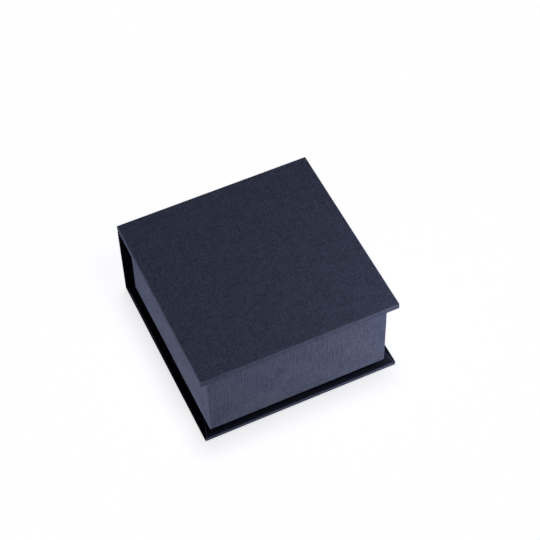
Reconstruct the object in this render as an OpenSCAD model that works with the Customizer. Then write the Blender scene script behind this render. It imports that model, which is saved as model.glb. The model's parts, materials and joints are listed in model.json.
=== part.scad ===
// Cloth-covered box with a book-style lid.
// A lid, a spine and a base are covered as one case. A covered tray is glued to the base and to the
// spine, and the lid turns on the cloth at the top of the spine.
// The box stands on z = 0, centred on x = 0 and y = 0, with its front at -y and its spine at +y.

/* [Case] */
// Width of the lid and the base, left to right
case_w = 110; // [80:1:220]
// Depth of the lid and the base, from the front to the back of the spine
case_d = 110; // [80:1:220]
// Thickness of the lid board
lid_board_t = 3.0; // [2:0.1:5]
// Thickness of the spine board
spine_board_t = 3.0; // [2:0.1:5]
// Thickness of the base board
base_board_t = 2.0; // [1.5:0.1:4]
// Softened edge of a bare case board
board_edge_r = 0.7; // [0.3:0.1:1]
// Corner of a bare case board, seen from above
board_corner_r = 0.85; // [0.4:0.05:3]

/* [Tray] */
// Height of the tray, from the base to the top of its rim
tray_h = 47.8; // [25:0.1:120]
// Width of base that shows to the left and to the right of the tray
side_margin = 4.6; // [2:0.1:8]
// Width of base that shows in front of the tray
front_margin = 4.2; // [2:0.1:8]
// Thickness of the tray's wall boards
wall_board_t = 2.0; // [1.5:0.1:4]
// Thickness of the tray's floor board
floor_board_t = 2.0; // [1.5:0.1:4]
// Length of each leg of a corner stay
stay_leg = 12; // [6:1:20]
// Thickness of a corner stay
stay_t = 0.15; // [0.05:0.05:0.15]

/* [Coverings] */
// Thickness of the book cloth
cloth_t = 0.35; // [0.25:0.05:0.5]
// Thickness of the lining paper
lining_t = 0.25; // [0.1:0.05:0.4]
// Width of the case cloth that is turned in over a board's edge
turn_in_w = 15; // [10:1:20]
// Depth of the tray cloth that is turned in over the rim
rim_turn_in = 15; // [12:1:20]
// Width of the tray cloth that is turned in under the foot
foot_turn_in = 12; // [8:1:20]
// Strip of cloth left bare between the rim and the wall lining
rim_reveal = 4; // [2:0.5:8]
// Strip of turn-in left bare round the lid lining, at the left, right and front
lining_margin = 2.8; // [1.5:0.1:5]
// Strip of joint cloth left bare behind the lid lining
lining_back_margin = 8; // [5:0.5:9]

/* [Hinge] */
// Width of the inner joint strip's leaf on the lid
joint_strip_w = 15; // [12:1:20]
// Thickness of the cloth where it is pressed into the fold
fold_t = 0.25; // [0.1:0.05:0.3]
// Room between the fold and the cloth that turns round it
fold_clearance = 0.03; // [0.02:0.01:0.06]

/* [Hidden] */
$fn = 64;

// Extra length of a cut past the face that it opens
cut = 1;

// Share of a board's thickness that a softened edge may take
edge_share = 0.45;

// Radii over the cloth
cloth_corner_r = board_corner_r + cloth_t;
lid_edge_r = min(board_edge_r, edge_share * lid_board_t);
base_edge_r = min(board_edge_r, edge_share * base_board_t);
spine_edge_r = min(board_edge_r, edge_share * spine_board_t);
lid_cloth_r = lid_edge_r + cloth_t;
spine_cloth_r = spine_edge_r + cloth_t;

// Half sizes of the case, and the thickness of its covered boards
half_w = case_w / 2;
half_d = case_d / 2;
base_t = base_board_t + 2 * cloth_t;
spine_t = spine_board_t + 2 * cloth_t;
lid_t = lid_board_t + 2 * cloth_t;

// Levels, from the table up
base_board_top = cloth_t + base_board_t;
floor_z = base_t + cloth_t;
floor_top = floor_z + floor_board_t;
rim_z = base_t + tray_h;
wall_top = rim_z - cloth_t;
rim_turn_in_z = wall_top - rim_turn_in;
lid_z = rim_z + lining_t;
case_h = lid_z + lid_t;
hinge_z = rim_z + lining_t / 2;

// Tray outline over the cloth, over its boards and inside its boards
tray_half_w = half_w - side_margin;
tray_front = -half_d + front_margin;
tray_back = half_d - spine_t;
walls_half_w = tray_half_w - cloth_t;
walls_front = tray_front + cloth_t;
walls_back = tray_back - cloth_t;
inner_half_w = walls_half_w - wall_board_t;
inner_front = walls_front + wall_board_t;
inner_back = walls_back - wall_board_t;

// Windows between the turn-ins
window_half_w = half_w - turn_in_w;
window_front = -half_d + turn_in_w;
foot_half_w = tray_half_w - foot_turn_in;
foot_front = tray_front + foot_turn_in;
foot_back = tray_back - foot_turn_in;

// Fold on the hinge line: it stays inside the circle that the rounded edges of lid and spine leave free
function free_r(edge_r) = norm([edge_r, edge_r + lining_t / 2]) - edge_r;
fold_r = min(free_r(lid_cloth_r), free_r(spine_cloth_r)) - fold_clearance;
fold_bore_r = fold_r - fold_t;

// Finishes
navy_cloth = [0.25, 0.27, 0.36];
greyboard = [0.58, 0.55, 0.50];
dark_paper = [0.10, 0.11, 0.15];
buff_card = [0.70, 0.64, 0.53];
kraft_paper = [0.62, 0.47, 0.30];

// Box between two opposite corners
module block(low, high) {
    translate(low)
        cube(high - low);
}

// Rectangle from the origin, with a radius for each corner: low left, low right, high right, high left
module soft_rect(size, radii) {
    corners = [[0, 0], [size.x, 0], [size.x, size.y], [0, size.y]];
    inward = [[1, 1], [-1, 1], [-1, -1], [1, -1]];
    difference() {
        square(size);
        for (i = [0 : 3])
            if (radii[i] > 0)
                translate(corners[i])
                    corner_tip(inward[i], radii[i]);
    }
}

// Sharp tip that a rounded corner loses, in the quarter that inward points to
module corner_tip(inward, r) {
    centre = inward * r;
    difference() {
        translate([min(0, centre.x), min(0, centre.y)])
            square(r);
        translate(centre)
            circle(r);
    }
}

// Box between two corners, with rounded edges: plan holds the radii seen from above, front those seen
// from the front and side those seen from the right, where low left is low front
module soft_block(low, high, plan, front, side) {
    size = high - low;
    intersection() {
        translate(low)
            linear_extrude(size.z)
                soft_rect([size.x, size.y], plan);
        translate([low.x, high.y, low.z])
            rotate([90, 0, 0])
                linear_extrude(size.y)
                    soft_rect([size.x, size.z], front);
        translate(low)
            rotate([90, 0, 90])
                linear_extrude(size.x)
                    soft_rect([size.y, size.z], side);
    }
}

// Same radius at all four corners
function all_round(r) = [r, r, r, r];

// Base, grown outwards from its board by the thickness of a covering
module base_form(grow) {
    r = base_edge_r + grow;
    inset = cloth_t - grow;
    soft_block(
        [-half_w + inset, -half_d + inset, inset],
        [half_w - inset, half_d - inset, base_t - inset],
        all_round(board_corner_r + grow), all_round(r), [r, r, 0, r]
    );
}

// Spine, standing on the base board, grown outwards from its board
module spine_form(grow) {
    r = spine_edge_r + grow;
    inset = cloth_t - grow;
    soft_block(
        [-half_w + inset, tray_back + inset, base_board_top],
        [half_w - inset, half_d - inset, rim_z - inset],
        all_round(r), all_round(0), [0, 0, r, 0]
    );
}

// Lid, grown outwards from its board
module lid_form(grow) {
    r = lid_edge_r + grow;
    inset = cloth_t - grow;
    soft_block(
        [-half_w + inset, -half_d + inset, lid_z + inset],
        [half_w - inset, half_d - inset, case_h - inset],
        all_round(board_corner_r + grow), all_round(r), all_round(r)
    );
}

// Tray over its cloth: the cloth rounds the sharp edges of the boards by its own thickness
module tray_form() {
    soft_block(
        [-tray_half_w, tray_front, base_t],
        [tray_half_w, tray_back, rim_z],
        all_round(cloth_t), all_round(cloth_t), all_round(cloth_t)
    );
}

// Box as wide as the tray's inside less a distance from each wall board, between two levels
module inside_block(off, z_low, z_high) {
    block(
        [-inner_half_w + off, inner_front + off, z_low],
        [inner_half_w - off, inner_back - off, z_high]
    );
}

// Covering round the tray's inside, between two distances from the wall boards
module inside_ring(off_out, off_in, z_low, z_high) {
    difference() {
        inside_block(off_out, z_low, z_high);
        inside_block(off_in, z_low - cut, z_high + cut);
    }
}

module base_board() {
    color(greyboard)
        base_form(0);
}

// Cloth under the base and round its edges, turned in on top at the left, right and front
module base_cloth() {
    color(navy_cloth)
        difference() {
            base_form(cloth_t);
            base_form(0);
            block(
                [-window_half_w, window_front, base_board_top],
                [window_half_w, half_d + cut, base_t + cut]
            );
            block(
                [-half_w - cut, tray_back, base_board_top],
                [half_w + cut, half_d + cut, base_t + cut]
            );
        }
}

// Card between the base board and the tray's floor board, inside both windows of turn-ins
module base_filler() {
    filler_half_w = min(window_half_w, foot_half_w);
    color(buff_card)
        block(
            [-filler_half_w, max(window_front, foot_front), base_board_top],
            [filler_half_w, foot_back, floor_z]
        );
}

module spine_board() {
    color(greyboard)
        spine_form(0);
}

// Cloth over the spine's outer face and round its ends, turned in on its inner face
module spine_cloth() {
    color(navy_cloth)
        difference() {
            spine_form(cloth_t);
            spine_form(0);
            block(
                [-window_half_w, tray_back - cut, base_board_top - cut],
                [window_half_w, tray_back + cloth_t, rim_z + cut]
            );
            joint_cap();
        }
}

// Card between the spine board and the tray's back, inside the spine's turn-ins
module spine_filler() {
    color(buff_card)
        block(
            [-window_half_w, tray_back, base_t],
            [window_half_w, tray_back + cloth_t, wall_top]
        );
}

// Flat leaf of joint cloth on the spine's top edge
module joint_cap() {
    block(
        [-half_w + spine_cloth_r, tray_back, wall_top],
        [half_w - spine_cloth_r, half_d - spine_cloth_r, rim_z]
    );
}

module joint_strip_spine() {
    color(navy_cloth)
        joint_cap();
}

// Half-round gutter of cloth that lies in the joint, centred on the hinge line
module hinge_fold() {
    fold_half_w = half_w - max(lid_cloth_r, cloth_corner_r);
    color(navy_cloth)
        translate([-fold_half_w, half_d, hinge_z])
            difference() {
                rotate([0, 90, 0])
                    cylinder(h = 2 * fold_half_w, r = fold_r);
                translate([-cut, 0, 0])
                    rotate([0, 90, 0])
                        cylinder(h = 2 * (fold_half_w + cut), r = fold_bore_r);
                block([-cut, 0, -fold_r - cut], [2 * fold_half_w + cut, fold_r + cut, fold_r + cut]);
            }
}

module tray_floor_board() {
    color(greyboard)
        block([-walls_half_w, walls_front, floor_z], [walls_half_w, walls_back, floor_top]);
}

// Board across the tray's full width, from one depth to the next
module cross_wall(y_low, y_high) {
    color(greyboard)
        block([-walls_half_w, y_low, floor_top], [walls_half_w, y_high, wall_top]);
}

// Board between the front and the back boards, from one width to the next
module side_wall(x_low, x_high) {
    color(greyboard)
        block([x_low, inner_front, floor_top], [x_high, inner_back, wall_top]);
}

module tray_front_board() {
    cross_wall(walls_front, inner_front);
}

module tray_back_board() {
    cross_wall(inner_back, walls_back);
}

module tray_left_board() {
    side_wall(-walls_half_w, -inner_half_w);
}

module tray_right_board() {
    side_wall(inner_half_w, walls_half_w);
}

// Paper strips folded round the four outer corners of the boards, under the cloth
module corner_stays() {
    color(kraft_paper)
        for (side = [-1, 1])
            for (end = [-1, 1])
                corner_stay(side, end);
}

module corner_stay(side, end) {
    corner = [side * walls_half_w, end < 0 ? walls_front : walls_back];
    inward = [-side, -end];
    difference() {
        stay_leg_block(corner, inward, stay_t, stay_leg);
        stay_leg_block(corner, inward, 0, stay_leg + cut);
    }
}

// Upright block at a corner of the boards, reaching out past it and in along both walls
module stay_leg_block(corner, inward, out, leg) {
    a = corner - out * inward;
    b = corner + leg * inward;
    z_low = out > 0 ? floor_z : floor_z - cut;
    z_high = out > 0 ? wall_top : wall_top + cut;
    block([min(a.x, b.x), min(a.y, b.y), z_low], [max(a.x, b.x), max(a.y, b.y), z_high]);
}

// Cloth round the tray's walls, over the rim and down inside, and in under the foot
module tray_cloth() {
    color(navy_cloth)
        difference() {
            union() {
                difference() {
                    tray_form();
                    block([-walls_half_w, walls_front, floor_z], [walls_half_w, walls_back, wall_top]);
                }
                inside_ring(0, cloth_t, rim_turn_in_z, rim_z - cloth_t / 2);
            }
            inside_block(cloth_t, wall_top - cut, rim_z + cut);
            block([-foot_half_w, foot_front, base_t - cut], [foot_half_w, foot_back, floor_z + cut]);
            corner_stays();
        }
}

// Paper round the walls, lapped over the lower edge of the cloth that is turned in over the rim
module tray_wall_lining() {
    color(dark_paper)
        union() {
            inside_ring(0, lining_t, floor_top, rim_turn_in_z);
            inside_ring(0, cloth_t + lining_t, rim_turn_in_z - lining_t, rim_turn_in_z);
            inside_ring(cloth_t, cloth_t + lining_t, rim_turn_in_z - lining_t, rim_z - rim_reveal);
        }
}

module tray_floor_lining() {
    color(dark_paper)
        inside_block(lining_t, floor_top, floor_top + lining_t);
}

module lid_board() {
    color(greyboard)
        lid_form(0);
}

// Cloth over the lid and round its edges, turned in underneath at the left, right and front
module lid_cloth() {
    color(navy_cloth)
        difference() {
            lid_form(cloth_t);
            lid_form(0);
            block(
                [-window_half_w, window_front, lid_z - cut],
                [window_half_w, half_d - lid_cloth_r, lid_z + cloth_t]
            );
        }
}

// Leaf of joint cloth on the lid's underside, between the side turn-ins
module joint_strip_lid() {
    color(navy_cloth)
        block(
            [-window_half_w, half_d - joint_strip_w, lid_z],
            [window_half_w, half_d - lid_cloth_r, lid_z + cloth_t]
        );
}

// Paper under the lid: it lies on the turn-ins and dips to the board in the window between them
module lid_lining() {
    window_back = half_d - joint_strip_w;
    lining_half_w = half_w - lining_margin;
    color(dark_paper)
        difference() {
            union() {
                block(
                    [-lining_half_w, -half_d + lining_margin, rim_z],
                    [lining_half_w, half_d - lining_back_margin, lid_z]
                );
                block(
                    [-window_half_w, window_front, rim_z],
                    [window_half_w, window_back, lid_z + cloth_t]
                );
            }
            block(
                [-window_half_w + lining_t, window_front + lining_t, rim_z - cut],
                [window_half_w - lining_t, window_back - lining_t, rim_z + cloth_t]
            );
        }
}

base_board();
base_cloth();
base_filler();
spine_board();
spine_cloth();
spine_filler();
joint_strip_spine();
hinge_fold();
tray_floor_board();
tray_front_board();
tray_back_board();
tray_left_board();
tray_right_board();
corner_stays();
tray_cloth();
tray_wall_lining();
tray_floor_lining();
lid_board();
lid_cloth();
joint_strip_lid();
lid_lining();
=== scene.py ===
# %% [markdown]
# # A cloth-covered box with a book-style lid
#
# A bookbinder's box is made of grey boards that are covered with book cloth. A lid, a spine and a
# base form a case like a book's cover. A tray with four walls is glued to the base and to the spine,
# and the lid turns on the cloth at the top of the spine.
#
# The boards are already there as fixed solids, called nodes. This lesson dresses them: it models the
# cloth and the lid's paper as thin shells with wrapped edges, and it gives every piece its finish.
# Each step says what the piece is on the real box and why it is made that way.

# %% Load the boards
import json
import math

import bmesh
import bpy
from mathutils import Matrix, Vector

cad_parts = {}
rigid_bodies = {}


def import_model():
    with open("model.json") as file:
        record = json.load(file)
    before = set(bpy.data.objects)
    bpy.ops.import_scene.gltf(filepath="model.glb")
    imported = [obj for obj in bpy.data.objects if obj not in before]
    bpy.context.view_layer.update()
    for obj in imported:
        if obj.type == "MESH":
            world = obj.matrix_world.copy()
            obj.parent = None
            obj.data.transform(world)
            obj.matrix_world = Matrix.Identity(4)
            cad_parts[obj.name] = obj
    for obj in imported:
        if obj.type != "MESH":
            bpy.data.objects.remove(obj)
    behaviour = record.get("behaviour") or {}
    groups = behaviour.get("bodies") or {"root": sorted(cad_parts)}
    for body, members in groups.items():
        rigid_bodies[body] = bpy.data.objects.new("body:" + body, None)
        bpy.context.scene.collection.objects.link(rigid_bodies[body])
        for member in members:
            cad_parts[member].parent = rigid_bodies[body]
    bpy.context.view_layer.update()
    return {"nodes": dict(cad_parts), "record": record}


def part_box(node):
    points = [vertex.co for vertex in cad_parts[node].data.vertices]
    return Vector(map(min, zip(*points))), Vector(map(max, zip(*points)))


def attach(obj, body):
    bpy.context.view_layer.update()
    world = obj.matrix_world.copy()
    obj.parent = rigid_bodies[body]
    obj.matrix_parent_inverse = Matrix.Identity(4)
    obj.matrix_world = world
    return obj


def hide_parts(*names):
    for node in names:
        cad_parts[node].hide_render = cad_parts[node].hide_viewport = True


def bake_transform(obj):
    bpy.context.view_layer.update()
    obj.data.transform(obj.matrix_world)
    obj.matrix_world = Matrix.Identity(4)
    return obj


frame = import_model()
MM = 0.001

# %% [markdown]
# ## Sizes
#
# The cloth has to fit the boards wherever they are, so its sizes are read from the nodes and not typed
# in again. The cloth's thickness is the distance from a board's face to its covering. The joint strip
# starts where the rounded back edge of the lid ends, so it gives the radius of that edge. It is as
# wide as the window between the turn-ins, so it gives their width too. What no node's box shows, such
# as the paper's thickness, is named where it is first needed.

# %% Read the sizes
LID_LOW, LID_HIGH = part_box("lid_cloth")
BASE_LOW, BASE_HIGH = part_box("base_cloth")
SPINE_LOW, SPINE_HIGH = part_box("spine_cloth")
TRAY_LOW, TRAY_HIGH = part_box("tray_cloth")
STRIP_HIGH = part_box("joint_strip_lid")[1]
CLOTH_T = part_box("lid_board")[0].z - LID_LOW.z
EDGE_R = LID_HIGH.y - STRIP_HIGH.y
WRAP_R = 1.5 * CLOTH_T
WINDOW_X = STRIP_HIGH.x
TURN_IN = LID_HIGH.x - WINDOW_X
WINDOW_FRONT = LID_LOW.y + TURN_IN
print("cloth", round(CLOTH_T / MM, 3), "edge", round(EDGE_R / MM, 3), "turn-in", round(TURN_IN / MM, 2))

# %% [markdown]
# ## The camera
#
# The photograph looks down on the box from the front left with a long lens, so the far edges shrink
# only a little. A camera could be dragged into place by eye. Here the view is given as a photographer
# would give it, because that is easy to read and to change: how far round, how high, how far away, and
# a small tilt of the camera. Three axes are built from those angles and become the camera's matrix.

# %% Place the camera
VIEW_ROUND = math.radians(-23.609)
VIEW_UP = math.radians(52.808)
VIEW_TILT = math.radians(-1.834)
VIEW_DISTANCE = 0.889742
VIEW_ASIDE = 0.006544
VIEW_RISE = 0.029813
LENS_MM = 109.631
SENSOR_MM = 36
SEEN_FROM, SEEN_TO = 0.05, 20

back = Vector((
    math.sin(VIEW_ROUND) * math.cos(VIEW_UP),
    -math.cos(VIEW_ROUND) * math.cos(VIEW_UP),
    math.sin(VIEW_UP),
))
level = Vector((math.cos(VIEW_ROUND), math.sin(VIEW_ROUND), 0))
upward = back.cross(level)
aside = level * math.cos(VIEW_TILT) + upward * math.sin(VIEW_TILT)
rise = upward * math.cos(VIEW_TILT) - level * math.sin(VIEW_TILT)
eye = aside * VIEW_ASIDE + rise * VIEW_RISE + back * VIEW_DISTANCE

bpy.ops.object.select_all(action="DESELECT")
bpy.ops.object.camera_add()
camera = bpy.context.object
camera.name = "camera"
camera.matrix_world = Matrix.Translation(eye) @ Matrix((aside, rise, back)).transposed().to_4x4()
camera.data.lens = LENS_MM
camera.data.sensor_width = SENSOR_MM
camera.data.clip_start = SEEN_FROM
camera.data.clip_end = SEEN_TO
bpy.context.scene.camera = camera
print("camera at", [round(c, 4) for c in eye])

# %% [markdown]
# ## Shader maths in plain Python
#
# A material is a graph of nodes. Wiring it by hand hides the idea behind it, so a small class wraps
# one output socket and overloads the operators: `1 - mask` adds a Math node by itself. Every other
# node comes from one method that takes its type, its settings and its inputs.

# %% Wrap a socket
class Signal:
    """One output socket of a material, with arithmetic."""

    def __init__(self, tree, socket):
        self.tree = tree
        self.socket = socket

    def node(self, kind, settings=None, inputs=None, output=0):
        """Adds a node: settings first, then values or links, and returns one of its outputs."""
        made = self.tree.nodes.new(kind)
        for key, value in (settings or {}).items():
            setattr(made, key, value)
        for key, value in (inputs or {}).items():
            if isinstance(value, Signal):
                self.tree.links.new(value.socket, made.inputs[key])
            else:
                made.inputs[key].default_value = value
        return Signal(self.tree, made.outputs[output])

    def math(self, operation, *values):
        inputs = dict(enumerate(values))
        return self.node("ShaderNodeMath", {"operation": operation}, inputs)

    def __add__(self, other):
        return self.math("ADD", self, other)

    def __sub__(self, other):
        return self.math("SUBTRACT", self, other)

    def __rsub__(self, other):
        return self.math("SUBTRACT", other, self)

    def __mul__(self, other):
        return self.math("MULTIPLY", self, other)

    __radd__ = __add__
    __rmul__ = __mul__

    def floor(self):
        return self.math("FLOOR", self)

    def ridge(self):
        """A rounded ridge, 0 to 1 and back to 0, over each whole number."""
        return self.math("SINE", self.math("FRACT", self) * math.pi)

    def wave(self):
        """A wave from 0 to 1, highest half way through each even whole number."""
        return self.math("SINE", self * math.pi) * 0.5 + 0.5

    def step(self, low, high):
        """Rises smoothly from 0 to 1 between two values."""
        settings = {"interpolation_type": "SMOOTHSTEP"}
        return self.node("ShaderNodeMapRange", settings, {0: self, 1: low, 2: high})

    def blend(self, first, second):
        """Mixes two colours by this value."""
        settings = {"data_type": "RGBA"}
        return self.node("ShaderNodeMix", settings, {0: self, 6: first, 7: second}, 2)

    def axis(self, letter):
        """One coordinate of this place."""
        return self.node("ShaderNodeSeparateXYZ", None, {0: self}, letter)

    def noise(self, stretch, detail=2.0):
        """Noise over this place, which is first scaled by a different amount along each axis."""
        inputs = {0: self, 1: stretch}
        scaled = self.node("ShaderNodeVectorMath", {"operation": "MULTIPLY"}, inputs)
        return self.node("ShaderNodeTexNoise", None, {"Vector": scaled, "Scale": 1.0, "Detail": detail})

    def bump(self, strength):
        """The normal of a surface with this height, in metres."""
        inputs = {"Strength": strength, "Distance": 1.0, "Height": self}
        return self.node("ShaderNodeBump", None, inputs, "Normal")


# %% Start a finish
def new_finish(name):
    """A new material: its tree as a Signal, and its surface shader node."""
    material = bpy.data.materials.new(name)
    material.use_nodes = True
    shader = material.node_tree.nodes["Principled BSDF"]
    return material, Signal(material.node_tree, None), shader


def plug(shader, **signals):
    """Links signals to the shader's sockets, with _ for a space in a socket's name."""
    for name, signal in signals.items():
        signal.tree.links.new(signal.socket, shader.inputs[name.replace("_", " ")])


print("shader helpers ready")

# %% [markdown]
# ## The floor
#
# The box stands on a plain white floor that fades into the backdrop. A curved sheet of paper would do
# that too, but it takes so much light to look white that the box would be washed out. So the camera
# sees part of this floor as glow, and the rest as matt white, which keeps the shadow. For bounced
# light the floor is matt white alone, so the glow doesn't light the box.

# %% Lay the floor
FLOOR_HALF = 2.0
FLOOR_DROP = 0.00005
FLOOR_GLOW = 0.71
FLOOR_CLOUD = (9, 9, 9)
FLOOR_GREY = (0.96, 0.96, 0.96, 1)
WHITE = (1, 1, 1, 1)


def seen_directly(tree):
    """1 for rays from the camera or from a mirror or glass, 0 for light that only bounces."""
    def path(name):
        return tree.node("ShaderNodeLightPath", None, None, name)
    total = path("Is Camera Ray") + path("Is Glossy Ray") + path("Is Transmission Ray")
    return tree.math("MINIMUM", total, 1.0)


def white_floor():
    material, tree, shader = new_finish("white_floor")
    cloud = tree.node("ShaderNodeTexCoord", None, None, "Object").noise(FLOOR_CLOUD)
    clouded = tree.node("ShaderNodeBsdfDiffuse", None, {"Color": cloud.blend(FLOOR_GREY, WHITE)})
    plain = tree.node("ShaderNodeBsdfDiffuse", None, {"Color": WHITE})
    glow = tree.node("ShaderNodeEmission", None, {"Color": WHITE, "Strength": FLOOR_GLOW})
    shown = tree.node("ShaderNodeAddShader", None, {0: glow, 1: plain})
    mixed = tree.node("ShaderNodeMixShader", None, {0: seen_directly(tree), 1: clouded, 2: shown})
    out = material.node_tree.nodes["Material Output"]
    tree.tree.links.new(mixed.socket, out.inputs["Surface"])
    material.node_tree.nodes.remove(shader)
    return material


bpy.ops.object.select_all(action="DESELECT")
bpy.ops.mesh.primitive_plane_add(size=2 * FLOOR_HALF, location=(0, 0, -FLOOR_DROP))
floor = bpy.context.object
floor.name = "floor"
bpy.ops.object.transform_apply(location=True, rotation=True, scale=True)
floor.data.materials.append(white_floor())
print("floor:", 2 * FLOOR_HALF, "m wide")

# %% [markdown]
# ## The lamps
#
# Two wide lights stand overhead, as suns with a large angle. The strong one is nearly upright and
# throws the short soft shadow in front and at the left. The weak one comes from the front right and
# adds a faint shadow behind. Three lamps stand low, at the left, near the front right and behind, so
# the upright walls get more light than the lid, and the front wall is brighter towards the right. A
# photographer would keep the low lamps off the floor with flags. Here light linking leaves it out.

# %% Hang the lamps
SKY_ANGLE = math.radians(18)
SKY_TINT = (0.975, 0.97, 1.06)
SKY_TILT = (math.radians(-7), math.radians(4.3), 0)
SKY_POWER = 0.59
FRONT_TILT = (math.radians(26), math.radians(11), 0)
FRONT_POWER = 0.17
NO_TINT = (1, 1, 1)
SIDE_TINT = (1, 1, 0.965)
AIM = Vector((0, 0, 0.025))


def overhead(name, tilt, power):
    """A wide light far above, given by how it leans."""
    bpy.ops.object.select_all(action="DESELECT")
    bpy.ops.object.light_add(type="SUN", rotation=tilt)
    lamp = bpy.context.object
    lamp.name = name
    lamp.data.angle = SKY_ANGLE
    lamp.data.energy = power
    lamp.data.color = SKY_TINT


def softbox(name, place, size, power, tint=NO_TINT):
    """A square area lamp that faces the box."""
    bpy.ops.object.select_all(action="DESELECT")
    bpy.ops.object.light_add(type="AREA", location=place)
    lamp = bpy.context.object
    lamp.name = name
    lamp.rotation_euler = (AIM - Vector(place)).to_track_quat("-Z", "Y").to_euler()
    lamp.data.size = size
    lamp.data.energy = power
    lamp.data.color = tint
    lamp.visible_camera = False
    return lamp


overhead("sky", SKY_TILT, SKY_POWER)
overhead("front_sky", FRONT_TILT, FRONT_POWER)
low_lamps = [
    softbox("left_softbox", place=(-0.80, -0.20, 0.045), size=0.2, power=11.4, tint=SIDE_TINT),
    softbox("front_softbox", place=(0.23, -0.18, 0.082), size=0.12, power=1.39),
    softbox("back_softbox", place=(0.16, 0.42, 0.045), size=0.08, power=1.1),
]
flagged = bpy.data.collections.new("kept_dark_by_flags")
flagged.objects.link(floor)
flagged.collection_objects[0].light_linking.link_state = "EXCLUDE"
for lamp in low_lamps:
    lamp.light_linking.receiver_collection = flagged

# %% [markdown]
# ## The backdrop
#
# Behind the floor the camera sees plain white. As a light, that white would be far too strong. So the
# world is white only for what is seen directly. For bounced light it is dim, just enough to soften the
# darkest corners.

# %% Hang the backdrop
AMBIENT = 0.06

world = bpy.data.worlds.new("studio")
bpy.context.scene.world = world
world.use_nodes = True
air = Signal(world.node_tree, None)
dim_air = air.node("ShaderNodeBackground", None, {"Color": WHITE, "Strength": AMBIENT})
white_air = air.node("ShaderNodeBackground", None, {"Color": WHITE, "Strength": 1.0})
both = air.node("ShaderNodeMixShader", None, {0: seen_directly(air), 1: dim_air, 2: white_air})
world.node_tree.links.new(both.socket, world.node_tree.nodes["World Output"].inputs["Surface"])
bpy.context.scene.view_settings.view_transform = "Standard"
print("backdrop: white, ambient", AMBIENT)

# %% [markdown]
# ## The weave of book cloth
#
# Book cloth is a plain weave: each thread goes over one and under the next. Where it lies on top it
# shows as a small lozenge, a float. A picture of cloth would repeat, and blur close up, so the weave
# is worked out instead. It is written in the cloth's own flat coordinates, a UV map in metres, so the
# threads run on round the edges. Each thread is a ridge that dips where it goes under, and the higher
# of two ridges is the one that shows. The yarn is uneven: a thread is thicker and paler for a few
# millimetres at a time, and these slubs are what shows from a step away.

# %% Weave the threads
THREAD = 0.40 * MM
THREAD_WAVES = (140, 140, 1)
THREAD_WANDER = 1.6
DIP = 0.3
YARN_RUN = 8 * MM
YARN_APART = 7.31
SLUB_FROM, SLUB_TO = 0.38, 0.62
WARP_SEED, WEFT_SEED = 0.5, 9.5
WEFT_BULGE = 0.6


def yarn(tree, thread, run, seed):
    """One tone for each thread, which changes slowly along it."""
    inputs = {0: thread * YARN_APART, 1: run * (1 / YARN_RUN), 2: seed}
    place = tree.node("ShaderNodeCombineXYZ", None, inputs)
    return place.noise((1, 1, 1), 0.0).step(SLUB_FROM, SLUB_TO)


def plain_weave(tree, flat):
    """Height of the weave, slubs of the threads on top, one tone for each float, bulge of the slubs."""
    across = flat.axis("X")
    along = flat.axis("Y")
    wander = flat.noise(THREAD_WAVES) * THREAD_WANDER
    warp = across * (1 / THREAD) + wander
    weft = along * (1 / THREAD) + wander
    warp_run = weft + warp.floor()
    weft_run = warp + weft.floor() + 1
    warp_top = warp.ridge() * (DIP + (1 - DIP) * warp_run.wave())
    weft_top = weft.ridge() * (DIP + (1 - DIP) * weft_run.wave())
    height = tree.math("MAXIMUM", warp_top, weft_top)
    over = tree.math("GREATER_THAN", weft_top, warp_top)

    def on_top(of_weft, of_warp):
        return over * of_weft + (1 - over) * of_warp

    warp_slub = yarn(tree, warp.floor(), along, WARP_SEED)
    weft_slub = yarn(tree, weft.floor(), across, WEFT_SEED)
    slub = on_top(weft_slub, warp_slub)
    bulge = warp_slub + weft_slub * WEFT_BULGE
    # A float lasts from one low point of its wave to the next, so its number is counted in twos.
    thread = on_top(weft.floor() + 0.5, warp.floor())
    turn = (on_top(weft_run, warp_run) * 0.5 + 0.25).floor()
    place = tree.node("ShaderNodeCombineXYZ", None, {0: thread, 1: turn})
    settings = {"noise_dimensions": "2D"}
    float_tone = tree.node("ShaderNodeTexWhiteNoise", settings, {"Vector": place}, "Value")
    return height, slub, float_tone, bulge


print("threads:", round(1 / THREAD), "to the metre")

# %% [markdown]
# ## The colour of book cloth
#
# The cloth is navy, between a dark and a pale tone. Every float has its own tone, and slubs are paler.
# The gaps between the threads get painted shade. Three attributes of the pieces do the rest, because a
# pattern alone can't know where the cloth lies: `edge` says where a wrapped edge is rubbed, `shade`
# where shade is painted in, nearly black on the margins round the tray, on the ends and in the joint,
# and lighter on the lid's sides, and `rib` where faint upright ribs show, which is on the tray only.
# The cloth is quite matt, so it has no shine at all.

# %% Dye the book cloth
# The mean heights of a ridge and of the weave: ribs and the painted shade in the gaps between the
# threads are taken about them, so that neither makes the cloth as a whole paler or darker.
RIDGE_MEAN = 2 / math.pi
WEAVE_MEAN = 0.611
RIB = 1.6 * MM
RIB_WAVES = (300, 80, 1)
RIB_WANDER = 1.3
CLOUD_WAVES = (60, 60, 1)
CLOUD_FROM, CLOUD_TO = 0.3, 0.7
GAP_SHADE_TONE = 0.5
DEEPEST_TONE = 0.12
SLUB_SHARE = 0.19
RIB_SHARE = 0.20
FLOAT_SHARE = 0.54
CLOUD_SHARE = 0.03
RUB_SHARE = 0.35
CLOTH_DARK = (0.0195, 0.0218, 0.0375, 1)
CLOTH_PALE = (0.0830, 0.0930, 0.151, 1)
# Painted shade: the colour that the cloth takes where the shade mark is full.
CLOTH_PAINTED_SHADE = (0.0012, 0.0013, 0.0028, 1)
CLOTH_RUBBED = (0.085, 0.092, 0.135, 1)
WEAVE_DEPTH = 0.10 * MM
SLUB_DEPTH = 0.02 * MM
WEAVE_BUMP = 0.6
MATT = 0.95
THREAD_GLOSS = 0.12
CLOTH_SHINE = 0.0


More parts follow.
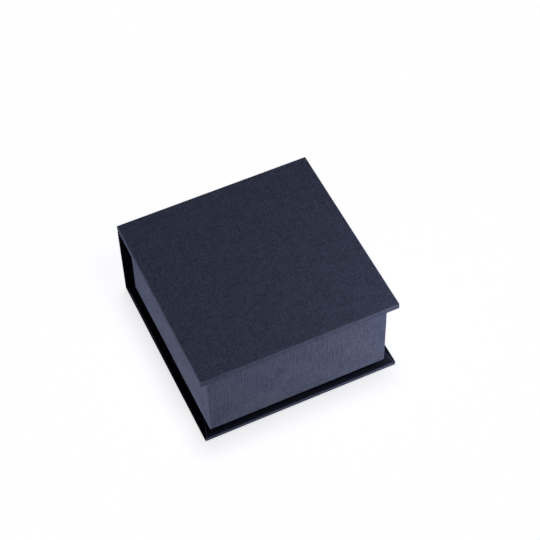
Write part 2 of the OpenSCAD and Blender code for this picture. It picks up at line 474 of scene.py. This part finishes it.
def book_cloth():
    material, tree, shader = new_finish("book_cloth")
    flat = tree.node("ShaderNodeUVMap", {"uv_map": "cloth"})
    edge, shade, ribbed = (
        tree.node("ShaderNodeAttribute", {"attribute_name": name}, None, "Fac")
        for name in ("edge", "shade", "rib"))
    height, slub, float_tone, bulge = plain_weave(tree, flat)
    rib = (flat.axis("X") * (1 / RIB) + flat.noise(RIB_WAVES) * RIB_WANDER).ridge() - RIDGE_MEAN
    cloud = flat.noise(CLOUD_WAVES, 3.0).step(CLOUD_FROM, CLOUD_TO)
    uneven = DEEPEST_TONE + SLUB_SHARE * slub + FLOAT_SHARE * float_tone + CLOUD_SHARE * cloud
    tone = uneven + RIB_SHARE * rib * ribbed
    # Painted shade: the gaps between the threads are darker than the threads on top.
    gap_shade = GAP_SHADE_TONE + (1 - GAP_SHADE_TONE) / WEAVE_MEAN * height
    colour = (tone * gap_shade).blend(CLOTH_DARK, CLOTH_PALE)
    colour = (edge * cloud * RUB_SHARE).blend(colour, CLOTH_RUBBED)
    # Painted shade: the shade mark blends the cloth towards nearly black.
    colour = shade.blend(colour, CLOTH_PAINTED_SHADE)
    depth = height * WEAVE_DEPTH + bulge * SLUB_DEPTH
    roughness = MATT - THREAD_GLOSS * height
    plug(shader, Base_Color=colour, Roughness=roughness, Normal=depth.bump(WEAVE_BUMP))
    shader.inputs["Specular IOR Level"].default_value = CLOTH_SHINE
    return material


BOOK_CLOTH = book_cloth()
print("book cloth:", len(BOOK_CLOTH.node_tree.nodes), "nodes")

# %% [markdown]
# ## Paper, card and board
#
# The inside of the box is lined with dark matt paper. Paper is a felt of short fibres, so it has a
# soft cloud and fine hairs. Binder's board is pressed from waste paper: grey brown, with pale and
# dark flecks, and with layers along its edge. One recipe makes them all, with its own colours for
# each. It reads the piece's own place in space, because paper has no thread to follow.

# %% Make the papers
FELT_CLOUD = (220, 220, 220)
FELT_HAIR = (2400, 500, 900)
HAIR_FROM, HAIR_TO = 0.35, 0.7
FLECK_WAVES = (1500, 1500, 1500)
FLECK_RIM = 0.02
LAYER = MM / 4.5
LAYER_WANDER = 1.5
HAIR_TONE = 0.55
LAYER_TONE = 0.4
HAIR_DEPTH = 0.02 * MM
CLOUD_DEPTH = 0.03 * MM
FELT_BUMP = 0.5
HAIR_GLOSS = 0.15
PAPER_SHINE = 0.1


def felted(name, dark, pale, fleck, fleck_share, layers=0.0):
    """Paper or board: clouds, short fibres, flecks, and layers along z on a board's edge."""
    material, tree, shader = new_finish(name)
    place = tree.node("ShaderNodeTexCoord", None, None, "Object")
    cloud = place.noise(FELT_CLOUD, 3.0).step(CLOUD_FROM, CLOUD_TO)
    hair = place.noise(FELT_HAIR).step(HAIR_FROM, HAIR_TO)
    layer = (place.axis("Z") * (1 / LAYER) + LAYER_WANDER * cloud).ridge()
    layer_tone = LAYER_TONE * layers
    hair_tone = HAIR_TONE - layer_tone / 2
    tone = (1 - layer_tone - hair_tone) * cloud + hair_tone * hair + layer_tone * layer
    spot = place.noise(FLECK_WAVES, 0.0).step(1 - fleck_share, 1 - fleck_share + FLECK_RIM)
    colour = spot.blend(tone.blend(dark, pale), fleck)
    depth = hair * HAIR_DEPTH + cloud * CLOUD_DEPTH
    plug(shader, Base_Color=colour, Roughness=MATT - HAIR_GLOSS * hair, Normal=depth.bump(FELT_BUMP))
    shader.inputs["Specular IOR Level"].default_value = PAPER_SHINE
    return material


FELTED = {
    "lining_paper": felted(
        "lining_paper", dark=(0.010, 0.011, 0.017, 1), pale=(0.019, 0.021, 0.033, 1),
        fleck=(0.035, 0.038, 0.055, 1), fleck_share=0.25),
    "greyboard": felted(
        "greyboard", dark=(0.22, 0.20, 0.165, 1), pale=(0.38, 0.345, 0.28, 1),
        fleck=(0.12, 0.11, 0.10, 1), fleck_share=0.31, layers=1.0),
    "filler_card": felted(
        "filler_card", dark=(0.38, 0.31, 0.20, 1), pale=(0.52, 0.43, 0.30, 1),
        fleck=(0.25, 0.19, 0.12, 1), fleck_share=0.28, layers=0.6),
    "stay_paper": felted(
        "stay_paper", dark=(0.26, 0.15, 0.06, 1), pale=(0.42, 0.25, 0.10, 1),
        fleck=(0.18, 0.10, 0.04, 1), fleck_share=0.27),
}
for entry in frame["record"]["subparts"]:
    finish = FELTED.get(entry["material_slot"])
    if finish:
        node = frame["nodes"][entry["node"]]
        node.data.materials.clear()
        node.data.materials.append(finish)
print("papers and boards:", sorted(FELTED))

# %% [markdown]
# ## Working like a modeller
#
# A covering could be written down point by point, but then nobody could see what was done to it. Here
# each one starts as a block of the right size and place. Its edges and faces are picked by where they
# lie, and shaped with the same tools that a hand would use: bevel, bisect, inset, extrude and delete.

# %% Pick edges and faces
NEAR = 1e-6
FLAT = 0.99
ALONG = 0.9


def near(a, b):
    return abs(a - b) < NEAR


def faces_up(at, normal):
    return normal.z > FLAT


def faces_down(at, normal):
    return normal.z < -FLAT


def start_block(name, low, high):
    """A block between two corners, open for editing."""
    bpy.ops.object.select_all(action="DESELECT")
    bpy.ops.mesh.primitive_cube_add(size=1, location=(low + high) / 2, scale=high - low)
    piece = bpy.context.object
    piece.name = name
    bpy.ops.object.transform_apply(location=True, rotation=True, scale=True)
    bpy.ops.object.mode_set(mode="EDIT")
    return piece


def pick_edges(rule):
    """Selects the edges whose middle and direction fit the rule, and returns how many."""
    mesh = bmesh.from_edit_mesh(bpy.context.object.data)
    bpy.ops.mesh.select_mode(type="EDGE")
    bpy.ops.mesh.select_all(action="DESELECT")
    picked = 0
    for edge in mesh.edges:
        a, b = (v.co for v in edge.verts)
        if rule((a + b) / 2, (b - a).normalized()):
            edge.select_set(True)
            picked += 1
    bmesh.update_edit_mesh(bpy.context.object.data)
    return picked


def pick_faces(rule):
    """Selects the faces whose middle and normal fit the rule."""
    mesh = bmesh.from_edit_mesh(bpy.context.object.data)
    bpy.ops.mesh.select_mode(type="FACE")
    bpy.ops.mesh.select_all(action="DESELECT")
    for face in mesh.faces:
        if rule(face.calc_center_bounds(), face.normal):
            face.select_set(True)
    bmesh.update_edit_mesh(bpy.context.object.data)


print("a place counts as the same within", NEAR / MM, "mm")

# %% Shape what is picked
ARC_STEPS = 6
SMALL_ARC_STEPS = 4
SHARP = math.radians(40)
CUT_NEAR = 1e-7


def round_edges(rule, radius, steps=ARC_STEPS):
    """Rounds the edges that fit the rule."""
    if pick_edges(rule):
        bpy.ops.mesh.bevel(offset=radius, segments=steps, profile=0.5, affect="EDGES")


def round_sharp(radius, rule=lambda at: True):
    """Rounds every edge that still turns sharply and whose middle fits the rule."""
    mesh = bmesh.from_edit_mesh(bpy.context.object.data)
    sharp = [e for e in mesh.edges if e.calc_face_angle(0) > SHARP]
    middles = {tuple((e.verts[0].co + e.verts[1].co) / 2) for e in sharp}
    round_edges(lambda at, way: tuple(at) in middles and rule(at), radius)


def slice_faces(rule, point, normal):
    """Cuts the faces that fit the rule along a plane."""
    pick_faces(rule)
    bpy.ops.mesh.bisect(plane_co=point, plane_no=normal, threshold=CUT_NEAR)


def delete_faces(rule):
    """Opens the block where faces fit the rule."""
    pick_faces(rule)
    bpy.ops.mesh.delete(type="FACE")


print("a wrapped edge has", ARC_STEPS, "steps")

# %% [markdown]
# ## From a shaped sheet to a covering
#
# Three things turn an open sheet into cloth. It gets a thickness from a Solidify modifier, and
# weighted normals that keep large faces flat beside their rounded edges. It gets flat coordinates in
# metres: for forms this plain, each face can take them from the two axes it lies along, with no seams
# to place by hand. And it gets marks, values at its points that tell the finish where it lies.

# %% Close a sheet and dress it
SMOOTH_BELOW = math.radians(35)


def close_sheet(piece, thickness, offset=-1.0):
    """Gives a sheet its thickness and flat-looking faces."""
    bpy.ops.mesh.select_all(action="SELECT")
    bpy.ops.mesh.remove_doubles(threshold=NEAR)
    bpy.ops.object.mode_set(mode="OBJECT")
    bpy.ops.object.modifier_add(type="SOLIDIFY")
    shell = piece.modifiers[-1]
    shell.thickness = thickness
    shell.offset = offset
    shell.use_even_offset = False
    bpy.ops.object.modifier_apply(modifier=shell.name)
    bpy.ops.object.shade_smooth_by_angle(angle=SMOOTH_BELOW)
    bpy.ops.object.modifier_add(type="WEIGHTED_NORMAL")
    flat = piece.modifiers[-1]
    flat.keep_sharp = True
    bpy.ops.object.modifier_apply(modifier=flat.name)


def dress(piece, finish, slot, body, *nodes):
    """Gives a piece its finish and its body, and hides the nodes that it stands for."""
    piece.data.materials.clear()
    piece.data.materials.append(finish)
    if body:
        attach(piece, body)
    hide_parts(*nodes)
    triangles = sum(len(p.vertices) - 2 for p in piece.data.polygons)
    print(piece.name, "triangles:", triangles)


print("faces meet smoothly below", round(math.degrees(SMOOTH_BELOW)), "degrees")

# %% Lay and mark the cloth
# For faces that look along x, y and z: the axes that lead across the warp and along it.
OVER_THE_CASE = ((2, 1), (0, 2), (0, 1))
UP_THE_WALL = ((1, 2), (0, 2), (0, 1))
RUB_SPAN = 0.2


def lay_cloth(piece, grain):
    """Gives a piece flat cloth coordinates in metres: across and along the warp for each face."""
    mesh = piece.data
    layer = mesh.uv_layers.get("cloth") or mesh.uv_layers.new(name="cloth")
    for face in mesh.polygons:
        axis = max(range(3), key=lambda i: abs(face.normal[i]))
        first, second = grain[axis]
        for loop in face.loop_indices:
            place = mesh.vertices[mesh.loops[loop].vertex_index].co
            layer.data[loop].uv = (place[first], place[second])


def mark(piece, name, rule):
    """Stores a value from 0 to 1 at each point of a piece."""
    layer = piece.data.attributes.new(name, "FLOAT", "POINT")
    for vertex, entry in zip(piece.data.vertices, layer.data):
        entry.value = rule(vertex.co, vertex.normal)


def rubbed_edge(place, normal):
    """1 where a surface turns from one face to the next."""
    steepest = max(abs(c) for c in normal)
    return min(1.0, (1 - steepest) / RUB_SPAN)


def cover(piece, grain, body, node, **marks):
    """Makes a shaped sheet a covering of book cloth that stands for a node."""
    close_sheet(piece, CLOTH_T)
    lay_cloth(piece, grain)
    mark(piece, "edge", rubbed_edge)
    for name, rule in marks.items():
        mark(piece, name, rule)
    dress(piece, BOOK_CLOTH, "book_cloth", body, node)


print("cloth helpers ready")

# %% [markdown]
# ## The lid's cloth
#
# The cloth lies over the lid, goes round its edges and is turned in underneath at the left, the right
# and the front. Where two turn-ins meet, the maker cuts a mitre. The cloth could be simulated, but
# glued cloth has no free folds. So a block with rounded edges gives the wrapped form, and cuts in its
# underside give the window and the two mitres, pressed in as grooves.

# %% Cover the lid
GROOVE_W = 0.22 * MM
GROOVE_D = 0.12 * MM
MITRE_SLACK = 0.01
# Painted shade on the lid: on the back edge by the joint, and on the faces below the top edges.
JOINT_SHADE = 0.6
LID_EDGE_SHADE = 0.15


def press_seam(rule, depth):
    """Turns the picked edges into a groove: a narrow bevel whose middle line is pushed in."""
    pick_edges(rule)
    bpy.ops.mesh.bevel(offset=GROOVE_W, segments=2, profile=0.5, affect="EDGES")
    bpy.ops.mesh.select_less()
    bpy.ops.transform.translate(value=depth)


def lid_shade(place, normal):
    """Painted shade: darker on the back edge, which turns into the joint, and a little darker below the
    top edges.
    """
    into_joint = (place.y - LID_HIGH.y + EDGE_R) / (EDGE_R / 2)
    below_top = (LID_HIGH.z - place.z) / WRAP_R
    return max(LID_EDGE_SHADE * min(1.0, below_top), JOINT_SHADE * min(1.0, into_joint))


def front_corner(at, side):
    """Whether a place lies on the square where two turn-ins meet."""
    return side * at.x > WINDOW_X and at.y < WINDOW_FRONT


def press_mitre(side):
    """Cuts the turn-ins of one front corner from the lid's corner inwards, and presses the cut in."""
    slice_faces(
        lambda at, normal: faces_down(at, normal) and side * at.x > 0 and at.y < 0,
        (side * LID_HIGH.x, LID_LOW.y, LID_LOW.z), (side, 1, 0))
    press_seam(
        lambda at, way: near(at.z, LID_LOW.z) and front_corner(at, side)
        and abs(abs(way.x) - abs(way.y)) < MITRE_SLACK,
        (0, 0, GROOVE_D))


def cover_lid():
    piece = start_block("lid_cover", LID_LOW, LID_HIGH)
    round_edges(lambda at, way: near(at.y, LID_HIGH.y) and abs(way.x) > ALONG, EDGE_R)
    round_sharp(WRAP_R)
    for side in (-1, 1):
        slice_faces(faces_down, (side * WINDOW_X, 0, LID_LOW.z), (1, 0, 0))
    slice_faces(faces_down, (0, WINDOW_FRONT, LID_LOW.z), (0, 1, 0))
    delete_faces(
        lambda at, normal: faces_down(at, normal) and abs(at.x) < WINDOW_X and at.y > WINDOW_FRONT)
    for side in (-1, 1):
        press_mitre(side)
    cover(piece, OVER_THE_CASE, "lid", "lid_cloth", shade=lid_shade)


cover_lid()

# %% [markdown]
# ## The lid's paper
#
# A sheet of paper hides the turn-ins on the lid's underside. It is pasted over their raw edges, so it
# sinks by the thickness of the cloth where they end. A hard step would look like two sheets. So the
# sheet is one face that is cut along the edge of the turn-ins, an inset makes the slope, and a bevel
# softens both of its lines.

# %% Line the lid
PAPER_T = 0.25 * MM
SLOPE_W = 1.6 * MM
SLOPE_R = 0.5 * MM


def slope_line(at, way):
    """The lines round the window and round the sunk middle, but not the slanting ones between them."""
    in_window = max(abs(at.x), abs(at.y)) < WINDOW_X + NEAR
    return in_window and max(abs(way.x), abs(way.y)) > FLAT


def line_lid():
    low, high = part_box("lid_lining")
    piece = start_block("lid_paper", low, high)
    delete_faces(lambda at, normal: not faces_down(at, normal))
    window_y = LID_HIGH.y - TURN_IN
    for side in (-1, 1):
        slice_faces(faces_down, (side * WINDOW_X, 0, 0), (1, 0, 0))
        slice_faces(faces_down, (0, side * window_y, 0), (0, 1, 0))
    pick_faces(lambda at, normal: abs(at.x) < WINDOW_X and abs(at.y) < window_y)
    bpy.ops.mesh.inset(thickness=SLOPE_W)
    bpy.ops.transform.translate(value=(0, 0, CLOTH_T))
    round_edges(slope_line, SLOPE_R, SMALL_ARC_STEPS)
    close_sheet(piece, PAPER_T)
    dress(piece, FELTED["lining_paper"], "lining_paper", "lid", "lid_lining")


line_lid()

# %% [markdown]
# ## The base's cloth
#
# The base is covered like the lid, but its turn-ins are on top, where the tray stands on them. Their
# outer part shows as a margin round the tray, under the lid's overhang, and it gets painted shade,
# nearly black, as do the left and right edges. Towards the right front corner, where light falls, the
# painted shade is lighter. At each front corner the side turn-in is lapped under the front one, and the
# lap shows as a slanting crease. Painted shade could be a second material, but its limits are soft, so
# it is a mark at the points, and cuts give it points where it changes.

# %% Shade the base
# Painted shade on the base: full on the ends and side margins, less in front and on the front edge,
# least at the lit right front corner.
END_SHADE = 1.0
MARGIN_SHADE = 0.86
FRONT_SHADE = 0.15
LIT_SHADE = 0.79
FACING = 0.6
LIT_TO = BASE_HIGH.x - 4 * MM
LIT_FROM = LIT_TO - 5 * MM
CREASE_START = Vector((BASE_HIGH.x - 1.16 * MM, BASE_LOW.y + 1.08 * MM))
CREASE_WAY = Vector((-2.27, 7.73)).normalized()


def past_crease(place):
    """How far a point lies outside the crease of its own side, towards the end of the base."""
    out = Vector((abs(place.x), place.y)) - CREASE_START
    return out.x * CREASE_WAY.y - out.y * CREASE_WAY.x


def base_shade(place, normal):
    """Painted shade: nearly black on the turn-ins and ends, a little lighter in front, and lighter
    towards the right front corner, where light falls.

    The underside, the back edge and the lines of the creases keep the cloth's own navy.
    """
    past = past_crease(place)
    if place.z < NEAR or normal.y > FACING or near(past, 0):
        return 0.0
    into_light = (min(place.x, -place.y) - LIT_FROM) / (LIT_TO - LIT_FROM)
    share = max(0.0, min(1.0, into_light))
    if past > 0 and normal.y > -FACING:
        return END_SHADE + (LIT_SHADE - END_SHADE) * share
    rim = END_SHADE if place.y > TRAY_LOW.y - NEAR else MARGIN_SHADE
    margin = rim + (LIT_SHADE - rim) * share
    height = max(0.0, (place.z - BASE_HIGH.z + WRAP_R) / WRAP_R)
    return FRONT_SHADE + (margin - FRONT_SHADE) * height


print("base lit from", round(LIT_FROM / MM, 2), "to", round(LIT_TO / MM, 2), "mm")

# %% Cover the base
CREASE_D = 0.06 * MM
LIT_STEPS = 4
TURNED = 0.5


def press_crease(side):
    """Cuts the turn-ins of one front corner along the lap, and presses the cut in."""
    slice_faces(
        lambda at, normal: faces_up(at, normal) and front_corner(at, side),
        (side * CREASE_START.x, CREASE_START.y, 0), (side * CREASE_WAY.y, -CREASE_WAY.x, 0))
    press_seam(
        lambda at, way: near(at.z, BASE_HIGH.z) and front_corner(at, side)
        and near(past_crease(at), 0) and abs(way.y) > ALONG,
        (0, 0, -CREASE_D))


def cover_base():
    piece = start_block("base_cover", BASE_LOW, BASE_HIGH)
    # The top edge at the back stays sharp, because the spine stands on it.
    round_sharp(WRAP_R, lambda at: not (near(at.z, BASE_HIGH.z) and near(at.y, BASE_HIGH.y)))
    for i in range(LIT_STEPS):
        reach = LIT_FROM + (LIT_TO - LIT_FROM) * i / LIT_STEPS
        slice_faces(lambda at, normal: at.y < 0 and abs(normal.x) < TURNED, (reach, 0, 0), (1, 0, 0))
        slice_faces(lambda at, normal: at.x > 0 and abs(normal.y) < TURNED, (0, -reach, 0), (0, 1, 0))
    for side in (-1, 1):
        slice_faces(faces_up, (side * WINDOW_X, 0, 0), (1, 0, 0))
    for line in (WINDOW_FRONT, TRAY_LOW.y, SPINE_LOW.y):
        slice_faces(faces_up, (0, line, 0), (0, 1, 0))
    delete_faces(
        lambda at, normal: faces_up(at, normal) and abs(at.x) < WINDOW_X
        and WINDOW_FRONT < at.y < SPINE_LOW.y)
    for side in (-1, 1):
        press_crease(side)
    cover(piece, OVER_THE_CASE, "tray", "base_cloth", shade=base_shade)


cover_base()

# %% [markdown]
# ## The spine's cloth
#
# The spine is the case's back. Its cloth goes over the outer face, round both ends and in behind the
# tray. Lid, spine and base are one cloth on the real box. Here the spine is a block of its own, because
# the lid has to move. Its top is left lower by the thickness of the joint strip, which lies on it.

# %% Cover the spine
STRIP_T = 0.2 * MM
SPINE_TOP = SPINE_HIGH.z - STRIP_T
FOOT_R = 0.4 * MM


def spine_shade(place, normal):
    """Painted shade, nearly black, at the ends and inside; the outer face keeps the cloth's navy."""
    return END_SHADE if place.y < SPINE_HIGH.y - WRAP_R / 2 else 0.0


def faces_tray(at, normal):
    return normal.y < -FLAT


def wrapped_end(at):
    """Leaves out the foot, and the top edge beside the tray."""
    by_tray = near(at.z, SPINE_TOP) and near(at.y, SPINE_LOW.y)
    return not near(at.z, SPINE_LOW.z) and not by_tray


def cover_spine():
    top = Vector((SPINE_HIGH.x, SPINE_HIGH.y, SPINE_TOP))
    piece = start_block("spine_cover", SPINE_LOW, top)
    round_edges(lambda at, way: near(at.z, SPINE_TOP) and near(at.y, SPINE_HIGH.y), EDGE_R)
    round_sharp(WRAP_R, wrapped_end)
    round_edges(lambda at, way: near(at.z, SPINE_LOW.z) and at.y > SPINE_HIGH.y - NEAR, FOOT_R)
    for side in (-1, 1):
        slice_faces(faces_tray, (side * WINDOW_X, 0, 0), (1, 0, 0))
    delete_faces(lambda at, normal: faces_tray(at, normal) and abs(at.x) < WINDOW_X)
    delete_faces(faces_down)
    cover(piece, OVER_THE_CASE, "tray", "spine_cloth", shade=spine_shade)


cover_spine()

# %% [markdown]
# ## The tray's cloth
#
# One strip of cloth goes round the tray's four walls, over the rim and down inside, and in under the
# foot. Four separate walls would show seams at the corners that the real tray doesn't have. So it is
# one block: an inset in the top and an extrusion down from it give the inner part, and an inset in the
# underside gives the foot. The inset also leaves a slanting line at each corner of the rim, where the
# maker cuts the cloth.

# %% Cover the tray
WALL = TRAY_HIGH.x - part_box("tray_right_board")[0].x + CLOTH_T
RIM_DEPTH = 15 * MM
RIM_R = 0.5 * MM
FOOT_IN = 12 * MM


def tray_edge(at, way):
    """The upright outer corners, and both lines of the rim."""
    outside = near(abs(at.x), TRAY_HIGH.x) or near(at.y, TRAY_LOW.y) or near(at.y, TRAY_HIGH.y)
    corner = outside and abs(way.z) > ALONG
    rim = near(at.z, TRAY_HIGH.z) and max(abs(way.x), abs(way.y)) > ALONG
    return corner or rim


def cover_tray():
    piece = start_block("tray_cover", TRAY_LOW, TRAY_HIGH)
    pick_faces(faces_up)
    bpy.ops.mesh.inset(thickness=WALL)
    bpy.ops.mesh.extrude_region_move(TRANSFORM_OT_translate={"value": (0, 0, -RIM_DEPTH)})
    bpy.ops.mesh.delete(type="FACE")
    pick_faces(faces_down)
    bpy.ops.mesh.inset(thickness=FOOT_IN)
    bpy.ops.mesh.delete(type="FACE")
    round_edges(tray_edge, RIM_R, SMALL_ARC_STEPS)
    cover(piece, UP_THE_WALL, "tray", "tray_cloth", rib=lambda at, normal: 1.0)


cover_tray()

# %% [markdown]
# ## The cloth joint
#
# The hinge is a strip of cloth. It lies on the spine's top, dips into the joint, makes a tight loop on
# the hinge line and comes back on the lid's underside. Two rigid leaves would tear apart as the lid
# opens, so it is one strip. Its outline is three arcs that touch: the spine's rounded edge, the loop,
# and the lid's rounded edge. An edge is extruded along that outline.

# %% Draw the joint's outline
LOOP_R = 0.25 * MM
LOOP_STEP = math.radians(15)
LOOP_FINE = math.radians(2)
LOOP_FINE_SPAN = 3
EDGE_STEPS = 5


def joint_outline():
    """Points of the strip's middle layer, as (y, z), from the spine's top to the lid's underside."""
    arc_y = SPINE_HIGH.y - EDGE_R
    low = Vector((arc_y, SPINE_TOP - EDGE_R))
    high = Vector((arc_y, LID_LOW.z + EDGE_R))
    wrap_r = EDGE_R + STRIP_T / 2
    middle_z = (low.y + high.y) / 2
    lean = math.asin((middle_z - low.y) / (wrap_r + LOOP_R))
    loop = Vector((arc_y + (wrap_r + LOOP_R) * math.cos(lean), middle_z))
    falls = [math.pi / 2 + (lean - math.pi / 2) * i / EDGE_STEPS for i in range(EDGE_STEPS + 1)]
    spine_arc = [low + wrap_r * Vector((math.cos(a), math.sin(a))) for a in falls]
    lid_arc = [high + wrap_r * Vector((math.cos(a), -math.sin(a))) for a in reversed(falls)]
    reach = math.pi - lean
    fine = [LOOP_FINE * i for i in range(-LOOP_FINE_SPAN, LOOP_FINE_SPAN + 1)]
    count = int((reach - fine[-1]) / LOOP_STEP)
    coarse = [fine[-1] + LOOP_STEP * (i + 1) for i in range(count)]
    turns = [-a for a in reversed(coarse)] + fine + coarse
    loop_arc = [loop + LOOP_R * Vector((math.cos(a), math.sin(a))) for a in turns]
    start = Vector((SPINE_LOW.y, SPINE_TOP + STRIP_T / 2))
    end = Vector((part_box("lid_lining")[1].y, LID_LOW.z - STRIP_T / 2))
    return [start] + spine_arc + loop_arc + lid_arc + [end]


JOINT_OUTLINE = joint_outline()
print("joint strip:", len(JOINT_OUTLINE), "lines along the hinge")

# %% Make the joint strip
STRIP_MARGIN = WRAP_R


def make_joint():
    bpy.ops.object.select_all(action="DESELECT")
    bpy.ops.mesh.primitive_plane_add(size=1, location=(0, 0, 0))
    piece = bpy.context.object
    piece.name = "joint_strip"
    first, second = JOINT_OUTLINE[:2]
    middle = (first + second) / 2
    half = SPINE_HIGH.x - STRIP_MARGIN
    bpy.ops.object.mode_set(mode="EDIT")
    bpy.ops.transform.resize(value=(2 * half, second.x - first.x, 1))
    bpy.ops.transform.translate(value=(0, middle.x, middle.y))
    pick_edges(lambda at, way: abs(way.x) > ALONG and at.y > middle.x)
    for here, there in zip(JOINT_OUTLINE[1:], JOINT_OUTLINE[2:]):
        move = there - here
        bpy.ops.mesh.extrude_region_move(TRANSFORM_OT_translate={"value": (0, move.x, move.y)})
    bpy.ops.mesh.select_all(action="SELECT")
    bpy.ops.mesh.normals_make_consistent(inside=False)
    close_sheet(piece, STRIP_T, 0.0)
    lay_cloth(piece, OVER_THE_CASE)
    dress(piece, BOOK_CLOTH, "book_cloth", None, "joint_strip_spine", "joint_strip_lid", "hinge_fold")
    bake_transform(piece)


make_joint()
